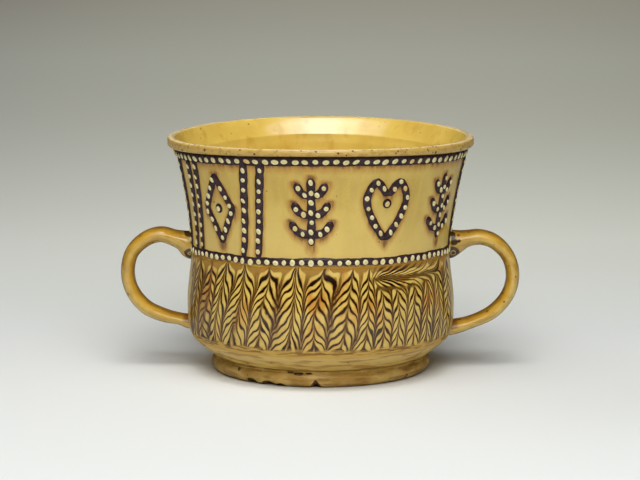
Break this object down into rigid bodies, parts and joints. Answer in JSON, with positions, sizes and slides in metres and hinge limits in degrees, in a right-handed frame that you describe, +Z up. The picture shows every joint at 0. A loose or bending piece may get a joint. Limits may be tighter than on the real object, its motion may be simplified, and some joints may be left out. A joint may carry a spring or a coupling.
{
  "type": "two-handled cup",
  "caption": "Wide two-handled earthenware cup with a flared wall, everted lip, rounded belly and low foot, trimmed with raised dotted slip trails over a feathered slip belly.",
  "frame": {"origin": "centre of the foot's resting face, on the surface the cup stands on", "axes": "+Z up along the axis the cup was turned on, X through the two handles, the front towards -Y"},
  "size_m": [0.1868, 0.1422, 0.1108],
  "materials": {
    "body_glaze": "glossy honey lead glaze over buff clay with iron specks",
    "foot_glaze": "thin, duller glaze over the turned foot, worn at its edge",
    "handle_glaze": "glossy honey glaze pooled darker along the strap",
    "feathered_slip": "cream and dark slips combed into feathers under glossy glaze",
    "dark_slip": "raised purple-brown slip under glossy glaze with cream dots"
  },
  "bodies": {
    "root": {"turned_foot": "foot_glaze", "vessel_body": "body_glaze", "feathered_slip_coat": "feathered_slip", "handle_left": "handle_glaze", "handle_right": "handle_glaze", "upper_border": "dark_slip", "lower_border_front": "dark_slip", "rule_front_1": "dark_slip", "rule_front_2": "dark_slip", "rule_front_3": "dark_slip", "rule_front_4": "dark_slip", "rule_front_5": "dark_slip", "rule_front_6": "dark_slip", "front_lozenge": "dark_slip", "front_lozenge_pellet": "dark_slip", "front_sprig_a": "dark_slip", "front_heart": "dark_slip", "front_heart_pellet": "dark_slip", "front_sprig_b": "dark_slip", "lower_border_back": "dark_slip", "rule_back_1": "dark_slip", "rule_back_2": "dark_slip", "rule_back_3": "dark_slip", "rule_back_4": "dark_slip", "rule_back_5": "dark_slip", "rule_back_6": "dark_slip", "back_lozenge": "dark_slip", "back_lozenge_pellet": "dark_slip", "back_sprig_a": "dark_slip", "back_heart": "dark_slip", "back_heart_pellet": "dark_slip", "back_sprig_b": "dark_slip"}
  },
  "joints": []
}
